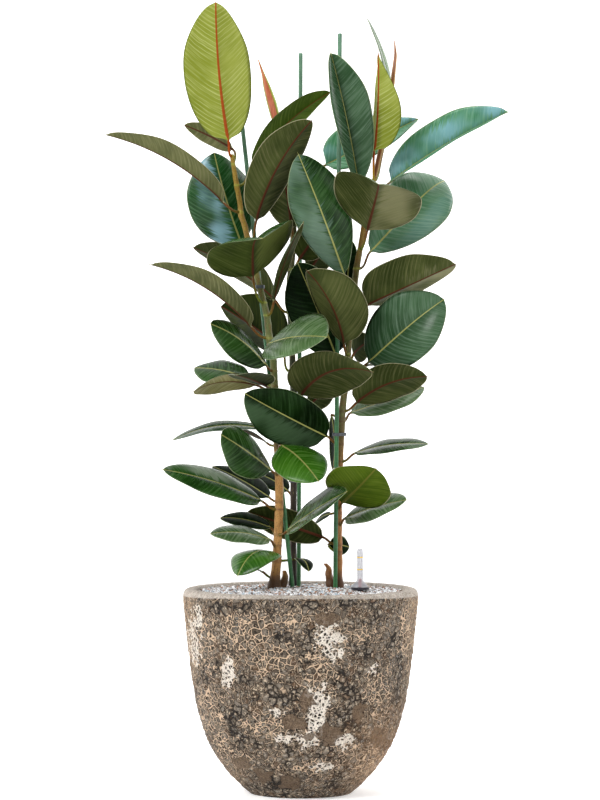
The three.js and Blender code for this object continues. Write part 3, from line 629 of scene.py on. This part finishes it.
def rodPoints(table, sides, spacing, wobble=0.0):
    table = np.array(table, dtype=float)
    travelled = np.concatenate([[0], np.cumsum(np.linalg.norm(np.diff(table[:, :3], axis=0), axis=1))])
    count = max(4, int(travelled[-1] / spacing))
    at = np.linspace(0, travelled[-1], count)
    line = np.stack([np.interp(at, travelled, table[:, k]) for k in range(4)], axis=1)
    soft = line.copy()
    soften(soft, 3)
    angles = fullTurn(sides)
    circle = np.stack([np.cos(angles), np.sin(angles), np.zeros(sides + 1)], axis=1)
    radius = np.repeat(soft[:, 3][:, None], sides + 1, axis=1)
    if wobble:
        for i, row in enumerate(soft):
            for k, angle in enumerate(angles[:-1]):
                spot = Vector((math.cos(angle) * 1.4, math.sin(angle) * 1.4, row[2] * 0.09))
                radius[i, k] *= 1 + wobble * noise.noise(spot)
            radius[i, -1] = radius[i, 0]
    return soft[:, None, :3] + circle[None] * radius[..., None], soft


def widened(points, soft, factor):
    centres = soft[:, None, :3]
    return centres + (points - centres) * factor


def capped(points):
    low = np.repeat(points[:1].mean(axis=1, keepdims=True), points.shape[1], axis=1)
    high = np.repeat(points[-1:].mean(axis=1, keepdims=True), points.shape[1], axis=1)
    return np.concatenate([low, points, high])


def barkPage(name, look):
    page = Page(name, roughness=0.55, specular_ior_level=0.35)
    where = page.where()
    height = page.parts(where)[2]
    ring = page.field("ring")
    streak = page.grain(where, 0.25, 260, 4.0, 0.6)
    fleck = page.cells(where, 420).step(0.1, 0.45)
    uneven = height + streak * 0.06
    page.colour = page.mix(uneven.step(0.5, 0.63), look["low"], look["middle"])
    page.over(uneven.step(0.8, 0.95), look["top"])
    page.over(streak.step(0.45, 0.7) * 0.6, look["streak"])
    page.over((1 - streak.step(0.3, 0.42)) * 0.4, barkShape["cork"])
    page.over((1 - fleck) * 0.6, look["fleck"])
    page.over((1 - height.step(0.328, 0.352)) * 0.85, look["foot"])
    page.over(ring * 0.8, page.mix(height.step(0.6, 0.8), look["scar"], look["node"]))
    return page.finish(page.colour, None, streak + fleck * 0.4 + ring, 0.5, 0.0007)


barkShape = {"sides": 16, "spacing": 2.6, "wobble": 0.12, "ring": 1.6, "ringRise": 0.1, "buried": (306, 318),
             "cork": (176, 160, 104)}
stumpShape = {"sides": 14, "spacing": 1.6, "wobble": 0.5}
barks = {
    "left": {"low": (176, 130, 70), "middle": (88, 98, 50), "top": (148, 118, 38),
             "streak": (116, 80, 40), "fleck": (50, 34, 20), "foot": (52, 32, 20),
             "scar": (92, 62, 40), "node": (150, 160, 60)},
    "centre": {"low": (52, 38, 28), "middle": (58, 62, 38), "top": (92, 86, 46),
               "streak": (40, 32, 24), "fleck": (28, 22, 18), "foot": (36, 25, 18),
               "scar": (60, 48, 34), "node": (118, 126, 60)},
    "right": {"low": (164, 110, 56), "middle": (92, 94, 48), "top": (140, 104, 30),
              "streak": (112, 74, 42), "fleck": (70, 48, 32), "foot": (60, 38, 24),
              "scar": (92, 62, 40), "node": (156, 160, 60)},
}
stumps = {
    "left": [(-30, 50, 316, 7), (-30, 50, 323.5, 7), (-26, 52, 331, 6.2), (-24, 53, 339, 4.6),
             (-26, 54, 346, 2.8)],
    "right": [(49, 55, 316, 7.5), (49, 55, 323.5, 7.5), (45, 56, 338, 6), (45, 57, 350, 4.5),
              (39, 58, 357, 2.6)],
}
for stem, table in stems.items():
    bark = barkPage("bark_" + stem, barks[stem])
    x, y, z, radius = table[0]
    low, high = barkShape["buried"]
    table = [(x, y, low, radius * 0.8), (x, y, high, radius)] + table
    points, soft = rodPoints(table, barkShape["sides"], barkShape["spacing"], barkShape["wobble"])

    # A raised ring wherever a leaf grows
    field = np.zeros(len(soft))
    for owner, height, *_ in [*leafRows.values(), *smallRows.values()]:
        if owner == stem:
            field = np.maximum(field, np.exp(-((soft[:, 2] - height) / barkShape["ring"]) ** 2))
    field = np.repeat(field[:, None], barkShape["sides"] + 1, axis=1)
    points = widened(points, soft, 1 + barkShape["ringRise"] * field[..., None])
    field = np.concatenate([field[:1], field, field[-1:]])
    parts = [gridPiece("rod_" + stem, capped(points), [bark], {"ring": field})]
    if stem in stumps:
        stump, line = rodPoints(stumps[stem], **stumpShape)
        still = np.zeros((len(line) + 2, stumpShape["sides"] + 1))
        parts.append(gridPiece("stump_" + stem, capped(stump), [bark], {"ring": still}))
    for name, row in smallRows.items():
        if row[0] == stem:
            parts.append(leafPiece("small_" + name, row, worn(name), coarseLeaf))
    piece = joinPieces("shoot_" + stem, parts)
    settle(piece, "stem", "stem_" + stem)
print("stems made")


# Growing tips

sheathShape = {"sides": 24, "spacing": 2.0, "pinch": 0.1, "slim": 1.02}
buds = {
    "centre": [(-19.5, 103, 1029, 3.4), (-30, 105, 1050, 5), (-39, 106, 1068, 8), (-46, 106, 1095, 8.4),
               (-54, 107, 1121, 6), (-59, 107, 1137, 3), (-68, 107, 1163, 0.8)],
    "right": [(118, 40, 971, 3.2), (123, 43, 995, 4.2), (130, 46, 1025, 4.5), (138, 49, 1070, 4.7),
              (146, 51, 1120, 4.1), (151, 52, 1165, 2.5), (149, 53, 1188.5, 0.7)],
}
budLooks = {
    "centre": {"body": (238, 140, 108), "deep": (212, 98, 70), "flank": (150, 164, 44)},
    "right": {"body": (156, 98, 58), "deep": (110, 62, 38), "flank": (176, 136, 80)},
}
for name, table in buds.items():
    look = budLooks[name]
    page = Page("sheath_" + name, roughness=0.4, coat_weight=0.2)
    grain = page.grain(page.where(), 0.08, 500, 3.0)
    around = page.field("around")
    page.colour = page.mix(grain.step(0.3, 0.7), look["deep"], look["body"])
    flank = around.step(0.2, 0.5) + (0 - around).step(0.75, 0.95)
    page.over(flank, look["flank"])
    sheath = page.finish(page.colour, None, grain, 0.4, 0.0006)
    points, soft = rodPoints(table, sheathShape["sides"], sheathShape["spacing"])
    angles = fullTurn(sheathShape["sides"])
    pinch = 1 - sheathShape["pinch"] * np.cos(3 * angles)[None, :, None]
    points = widened(points, soft, pinch / sheathShape["slim"])
    around = np.repeat(np.cos(angles)[None], len(soft) + 2, axis=0)
    piece = gridPiece("sheath_" + name, capped(points), [sheath], {"around": around})
    settle(piece, "bud_" + name, "bud_" + name)
print("buds made")


# Plant sticks and clips

stakes = {"left": [(-13, 47, 316), (-13, 47, 322), (-95, 58, 1075)],
          "centre": [(-3, 91, 316), (-3, 91, 325), (0, 106, 1172)],
          "right": [(55, 33, 316), (55, 33, 325), (62, 27, 1196)]}
stick = {"radius": 3.4, "sides": 16, "spacing": 4, "ridge": 0.015, "pitch": 8, "tip": 0.8, "tipRise": 0.9,
         "deep": (20, 72, 36), "green": (50, 116, 62), "upperDeep": (58, 98, 72),
         "upperPale": (98, 138, 112), "ring": (120, 154, 120)}
page = Page("stickGreen", roughness=0.5)
where = page.where()
grain = page.grain(where, 0.05, 700, 3.0)
page.colour = page.mix(grain.step(0.3, 0.7), stick["deep"], stick["green"])
upper = page.mix(grain.step(0.3, 0.7), stick["upperDeep"], stick["upperPale"])
tall = page.parts(where)[2]
# lighter towards the top
page.over((tall + page.cloud(where, 30, 2.0) * 0.1).step(0.72, 0.9), upper)
page.over(tall.wave(stick["pitch"] * mm).step(0.7, 1) * 0.08, stick["ring"])
stickGreen = page.finish(page.colour, None, grain, 0.3, 0.0004)
for name, line in stakes.items():
    table = [(*place, stick["radius"]) for place in line]
    points, soft = rodPoints(table, stick["sides"], stick["spacing"])
    ridge = 1 + stick["ridge"] * np.cos(soft[:, 2] * 2 * math.pi / stick["pitch"])
    points = widened(points, soft, ridge[:, None, None])
    top = soft[-1, :3] + (points[-1] - soft[-1, :3]) * stick["tip"] + (0, 0, stick["tipRise"])
    points = np.concatenate([points, top[None]])
    settle(gridPiece("stick_" + name, capped(points), [stickGreen]), "stick", "stake_" + name)

clipGray = twoTone("clipGray", {"roughness": 0.45}, 300, 2.0, (38, 42, 46), (78, 84, 90))
for name in ("tie_left", "tie_centre_high", "tie_centre_low", "tie_right"):
    dress(name, clipGray)
print("sticks made")


# Planter

potShape = {"outer": [(80, 0.2), (96, 13), (117, 35), (135, 60), (148, 84), (158, 113), (166, 144),
                      (171.5, 178), (177, 220), (180.6, 254), (184, 288), (185.5, 306)],
            "lip": [(185.2, 310), (184.4, 315), (182.8, 318.4), (180.2, 320.6), (176, 321.8), (171, 321.8),
                    (167, 321), (164, 319.4), (162.2, 316), (161.2, 311), (161, 304)],
            "base": [(0.1, 0.2), (40, 0.2), (74, 0.2)],
            "sides": 460, "rows": 176, "relief": 1.5, "bubble": 11, "pit": 5, "lipFrom": 300,
            "lipRelief": 0.12}
outer = np.array(potShape["outer"], dtype=float)
heights = np.linspace(outer[0, 1], outer[-1, 1], potShape["rows"])
radii = np.interp(heights, outer[:, 1], outer[:, 0])
soften(radii, 6)
profile = np.array(potShape["base"] + list(zip(radii, heights)) + potShape["lip"])
angles = fullTurn(potShape["sides"])
points = np.zeros((len(profile), len(angles), 3))
for i, (radius, height) in enumerate(profile):
    onBody = 0 <= i - len(potShape["base"]) < len(radii)
    body = smooth(height, 3, 14) * (1 - smooth(height, potShape["lipFrom"], 312)) if onBody else 0
    for k, angle in enumerate(angles[:-1]):
        grown = radius
        if body or height > potShape["lipFrom"]:
            spot = Vector((math.cos(angle) * radius, math.sin(angle) * radius, height))
            near = noise.voronoi(spot / potShape["bubble"])[0]
            crust = 0.5 - near[0] + 0.5 * min(1, (near[1] - near[0]) * 2.5)
            rough = noise.fractal(spot / potShape["pit"], 1.0, 2.0, 3)
            grown += (crust + rough * 0.5 - 0.9) * potShape["relief"] * max(body, potShape["lipRelief"])
        points[i, k] = (math.cos(angle) * grown, math.sin(angle) * grown, height)
    points[i, -1] = points[i, 0]

glaze = {"large": 96, "small": 165, "flecks": 400, "relief": 0.0024,
         "dome": (84, 73, 61), "domeLight": (126, 116, 104), "smallDome": (138, 134, 128),
         "brown": (100, 72, 48), "crown": (186, 174, 158), "dust": (168, 150, 128),
         "pit": (40, 33, 28), "paleFleck": (206, 186, 160), "darkFleck": (32, 26, 22),
         "edge": (22, 18, 15), "wall": (226, 198, 168), "froth": (246, 238, 226),
         "stain": (150, 126, 102), "between": (44, 36, 29), "hole": (30, 24, 20),
         "skin": (80, 64, 50), "skinLight": (122, 102, 82), "skinFleck": (50, 40, 32),
         "skinEdge": (36, 28, 22), "warm": (170, 130, 92), "sides": (208, 176, 142),
         "lip": (150, 138, 126), "lipLight": (226, 217, 206), "lipSpot": (128, 118, 108)}
page = Page("lavaGlaze", specular_ior_level=0.2)
where = page.where()
across, _, height = page.parts(where)
grain = page.cloud(where, 520, 4.0, 0.8)
coarse = page.cloud(where, 150, 3.0, 0.7)
region = page.cloud(where, 26, 3.0, 0.65)
foam = page.cloud(where, 42, 3.0, 0.65)


def bubbles(space, scale):  # distance to the edge, three random numbers, and distance to the middle
    edge = page.cells(space, scale, "DISTANCE_TO_EDGE")
    return edge, page.parts(page.cells(space, scale, "F1", "Color")), page.cells(space, scale)


bigEdge, bigTone, bigDome = bubbles(page.warp(where, 50, 0.014), glaze["large"])
smallEdge, smallTone, smallDome = bubbles(page.warp(where, 150, 0.004), glaze["small"])
fleckTone = page.parts(page.cells(page.warp(where, 300, 0.003), glaze["flecks"], "F1", "Color"))
blotchX, _, blotchZ = page.parts(page.warp(where, 70, 0.03))


def blotch(x, z, wide, tall, ragged):
    a = (blotchX - x * mm) / (wide * mm)
    b = (blotchZ - z * mm) / (tall * mm)
    return 1 - (a * a + b * b + ragged).step(0.5, 1.3)


def gathered(places, ragged):
    total = blotch(*places[0], ragged)
    for place in places[1:]:
        total = page.math("MAXIMUM", total, blotch(*place, ragged))
    return total


# Where the froth lies thick, where it thins to a fine net, and where smooth scabs break through:
# x, z, and how far each reaches sideways and up
frothPlaces = [(40, 256, 24, 28), (54, 232, 12, 14), (29, 162, 18, 26), (24, 132, 16, 26),
               (-166, 240, 10, 36), (112, 207, 9, 11), (-2, 102, 30, 15), (-158, 282, 8, 18),
               (68, 98, 14, 16), (-112, 200, 9, 24), (-36, 142, 16, 8), (34, 54, 18, 7)]
netPlaces = [(-80, 262, 44, 30), (-111, 206, 16, 34), (-40, 222, 36, 30), (-52, 124, 40, 24),
             (163, 255, 12, 50), (66, 88, 22, 26), (30, 54, 34, 16), (-120, 90, 22, 22),
             (92, 262, 28, 16), (2, 108, 44, 26), (-150, 250, 22, 50), (40, 240, 34, 46),
             (-10, 285, 60, 12), (120, 170, 20, 50), (-100, 60, 30, 18), (100, 60, 30, 26),
             (-140, 140, 22, 40), (26, 160, 28, 44)]
scabPlaces = [(9, 160, 10, 17), (-7, 127, 20, 12), (44, 110, 18, 19), (40, 284, 20, 10),
              (-16, 28, 18, 14), (-56, 40, 16, 11), (-93, 56, 13, 10), (14, 104, 10, 8),
              (120, 96, 12, 17), (88, 140, 10, 16)]
torn = (foam - 0.5) * 4 + (coarse - 0.5) * 3
froth = gathered(frothPlaces, torn)
froth = page.math("MAXIMUM", froth, gathered(netPlaces, torn) * 0.3)
scab = gathered(scabPlaces, (foam - 0.5) * 1.2 + (coarse - 0.5) * 0.8)

# Bubbles: each a gray or brown dome with a dark rim and a painted highlight on its crown
fine = region.step(0.54, 0.6)
edge = fine * smallEdge + (1 - fine) * bigEdge
dome = fine * smallDome + (1 - fine) * bigDome
page.colour = page.mix(bigTone[0], glaze["dome"], glaze["domeLight"])
page.over(fine * smallTone[0].step(0.2, 0.9) * 0.7, glaze["smallDome"])
page.over(bigTone[1].step(0.78, 0.86) * 0.7, glaze["brown"])
# painted highlight on the crown of each bubble
page.over((1 - dome.step(0.05, 0.36)) * 0.6, glaze["crown"])
page.over(coarse.step(0.5, 0.64) * 0.45, glaze["dust"])
page.over((1 - grain.step(0.36, 0.47)) * 0.65, glaze["pit"])
page.over(fleckTone[0].step(0.87, 0.9) * 0.7, glaze["paleFleck"])
page.over(fleckTone[1].step(0.88, 0.91) * 0.85, glaze["darkFleck"])
ragged = edge + (grain - 0.5) * 0.12
width = fine * 0.05 + 0.06
rim = 1 - ragged.step(width + 0.02, width + 0.1)
page.over(rim * coarse.step(0.24, 0.42) * 0.92, glaze["edge"])

# Thin cream walls between the bubbles, thicker and whiter where the froth grows
netted = page.cloud(where, 34, 2.0, 0.6).step(0.42, 0.52) * (0.25 + coarse.step(0.42, 0.58) * 0.75)
netted = page.math("MAXIMUM", netted * 0.8, froth.step(0.06, 0.26))
inner = froth * 0.05 + width - fine * 0.025 - 0.012
wall = 1 - (edge + (grain - 0.5) * 0.07).step(inner - 0.025, inner + 0.02)
sponge = 1 - (smallEdge + (grain - 0.5) * 0.16).step(froth * 0.13 - 0.025, froth * 0.15 + 0.03)
cream = page.mix(froth.step(0.3, 0.9), glaze["wall"], glaze["froth"])
cream = page.mix(grain.step(0.4, 0.6), page.mix(0.5, cream, glaze["stain"]), cream)
page.over((1 - sponge) * froth * 0.7, glaze["between"])
page.over(sponge * froth.step(0.3, 0.65) * 0.95, cream)
page.over(wall * netted * 0.95, cream)
hole = (1 - smallDome.step(0.18, 0.32)) * smallTone[2].step(0.4, 0.45)
page.over(hole * (froth * 0.35 + 0.6), glaze["hole"])

# Smooth brown scabs with a dark edge
skin = page.mix(grain.step(0.3, 0.7), glaze["skin"], glaze["skinLight"])
skin = page.mix(fleckTone[2].step(0.92, 0.95) * 0.6, skin, glaze["skinFleck"])
page.over((1 - (scab - 0.4).size().step(0.05, 0.25)) * 0.8, glaze["skinEdge"])
page.over(scab.step(0.42, 0.54) * 0.85, skin)

# Warmer low on the right, painted rim light towards the sides (paler there), plain on the lip
warm = across.step(0.03, 0.16) * (1 - height.step(0.05, 0.19))
page.over(warm * (0.2 + coarse.step(0.4, 0.6) * 0.4), glaze["warm"])
# painted rim light: paler towards both sides and low off the middle
low = (1 - height.step(0.02, 0.07)) * across.size().step(0.06, 0.13)
sides = page.math("MAXIMUM", across.size().step(0.155, 0.185), low)
page.over(sides * (0.12 + coarse.step(0.42, 0.58) * 0.45), glaze["sides"])
lipBand = (height + (coarse - 0.5) * 0.005 + across * across * 0.19).step(0.3162, 0.3186)
plain = page.mix(grain.step(0.3, 0.7), glaze["lip"], glaze["lipLight"])
plain = page.mix(coarse.step(0.46, 0.6) * 0.4, plain, glaze["lipSpot"])
page.over(lipBand * 0.88, plain)
relief = edge.step(0, 0.3) + grain * 0.7 + wall * netted * 0.6 + sponge * froth * 0.5 - hole * 1.2
coat = page.finish(page.colour, grain * 0.3 + 0.6, relief, 1.0, glaze["relief"])
settle(gridPiece("planter", points, [coat]), "pot", "pot")
print("planter made")


# Gravel: grains over the bed, each a small rough stone

gravel = {"radius": 160.5, "height": 316.2, "crown": 2.0, "count": 5200, "size": (1.3, 2.9),
          "turn": 2.399963, "first": (92, 72, 58),
          "kinds": [(0.08, 0.3, (172, 166, 162)), (0.35, 0.5, (220, 220, 222)),
                    (0.54, 0.56, (176, 194, 206)), (0.64, 0.66, (244, 245, 248)),
                    (0.9, 0.92, (176, 132, 104))],
          "speck": (120, 108, 100)}
count = gravel["count"]
bpy.ops.mesh.primitive_ico_sphere_add(subdivisions=1, radius=1)
bed = bpy.context.object
bed.name = "grains"
array = bed.modifiers.new("grains", "ARRAY")
array.count = count
array.use_relative_offset = False
bpy.ops.object.modifier_apply(modifier="grains")
corners = np.zeros(len(bed.data.vertices) * 3)
bed.data.vertices.foreach_get("co", corners)
corners = corners.reshape(count, -1, 3)

# Laid out as seeds in a sunflower head, each grain with a size, a shape and a turn of its own
spread = np.sqrt((np.arange(count) + 0.5) / count)
turned = np.arange(count) * gravel["turn"] + draw.uniform(-0.25, 0.25, count)
far = np.clip(spread * gravel["radius"] + draw.uniform(-1.6, 1.6, count), 0, gravel["radius"] - 1.5)
size = draw.uniform(*gravel["size"], (count, 1, 1)) * draw.uniform(0.75, 1.2, (count, 1, 3))
corners = corners * size * draw.uniform(0.8, 1.15, corners.shape)
spin = draw.uniform(0, 6.28, (count, 2))
for first, second in ((0, 1), (1, 2)):
    a, b = corners[..., first].copy(), corners[..., second].copy()
    c, s = np.cos(spin[:, first])[:, None], np.sin(spin[:, first])[:, None]
    corners[..., first], corners[..., second] = a * c - b * s, a * s + b * c
lying = gravel["height"] + gravel["crown"] * (1 - (far / gravel["radius"]) ** 2)
lying += draw.uniform(-0.8, 0.9, count)
centres = np.stack([np.cos(turned) * far, np.sin(turned) * far, lying], axis=1)
corners += centres[:, None]
bed.data.vertices.foreach_set("co", (corners * mm).ravel())
shade = bed.data.attributes.new("shade", "FLOAT", "POINT")
kind = np.repeat(draw.uniform(0, 1, count), corners.shape[1])
shade.data.foreach_set("value", kind.astype(np.float32))
page = Page("grains", roughness=0.8)
shade = page.field("shade")
speck = page.cloud(page.where(), 700, 3.0)
page.colour = gravel["first"]
for low, high, hue in gravel["kinds"]:
    page.over(shade.step(low, high), hue)
page.over(speck.step(0.5, 0.8) * 0.4, gravel["speck"])
bed.data.materials.append(page.finish(page.colour, None, speck, 0.4, 0.0005))
bpy.ops.object.shade_flat()
settle(bed, "gravel")

page = Page("gravelBed", roughness=0.9)
cells = page.parts(page.cells(page.where(), 260, "F1", "Color"))[0]
dress("gravel", page.finish(page.mix(cells, (96, 86, 80), (190, 186, 184))))
page = Page("pottingMix", roughness=0.95)
crumbs = page.cloud(page.where(), 300, 5.0, 0.7)
dress("soil", page.finish(page.mix(crumbs, (38, 28, 20), (88, 66, 48)), None, crumbs, 0.6, 0.002))
print("gravel made")


# Water gauge

gauge = {"place": (93, -28), "marks": (352, 371), "markRadii": (4, 4.8), "markWidth": 1.8,
         "bell": [(12.4, 325.55), (12.4, 326.35), (11.6, 327.95), (9.5, 330.55), (7.2, 332.95), (5.4, 334.95),
                  (4.7, 337.05), (4.6, 339.55), (4.6, 382), (4.2, 384), (3.2, 384.9), (0.05, 385)],
         "clear": (176, 177, 186), "milky": (192, 193, 200)}


def turnedPiece(name, profile, sides, material):
    angles = fullTurn(sides)
    rows = np.array(profile, dtype=float)
    points = np.zeros((len(rows), sides + 1, 3))
    points[..., 0] = rows[:, 0][:, None] * np.cos(angles) + gauge["place"][0]
    points[..., 1] = rows[:, 0][:, None] * np.sin(angles) + gauge["place"][1]
    points[..., 2] = rows[:, 1][:, None]
    return gridPiece(name, points, [material])


page = Page("gaugeClear", roughness=0.35, ior=1.46)
milk = page.cloud(page.where(), 90, 2.0)
clear = page.finish(page.mix(milk, gauge["clear"], gauge["milky"]))
page.feed(page.shader.inputs["Alpha"], milk * 0.1 + 0.48)
settle(turnedPiece("gaugeShell", gauge["bell"], 32, clear), "gauge_tube", "gauge_tube")
yellow = twoTone("gaugeMarks", {"roughness": 0.4}, 400, 2.0, (222, 178, 70), (238, 204, 110))
inner, outer = gauge["markRadii"]
for k, low in enumerate(gauge["marks"]):
    high = low + gauge["markWidth"]
    band = [(inner, low), (outer, low), (outer, high), (inner, high), (inner, low)]
    settle(turnedPiece(f"gaugeMark{k}", band, 20, yellow), "gauge_tube")
disc = twoTone("gaugeDisc", {"roughness": 0.35}, 120, 3.0, (26, 24, 32), (52, 48, 60))
red = twoTone("gaugeFloat", {"roughness": 0.35}, 200, 2.0, (190, 44, 30), (214, 70, 44))
dress("gauge_base", disc)
dress("gauge_float", red)
print("gauge made")
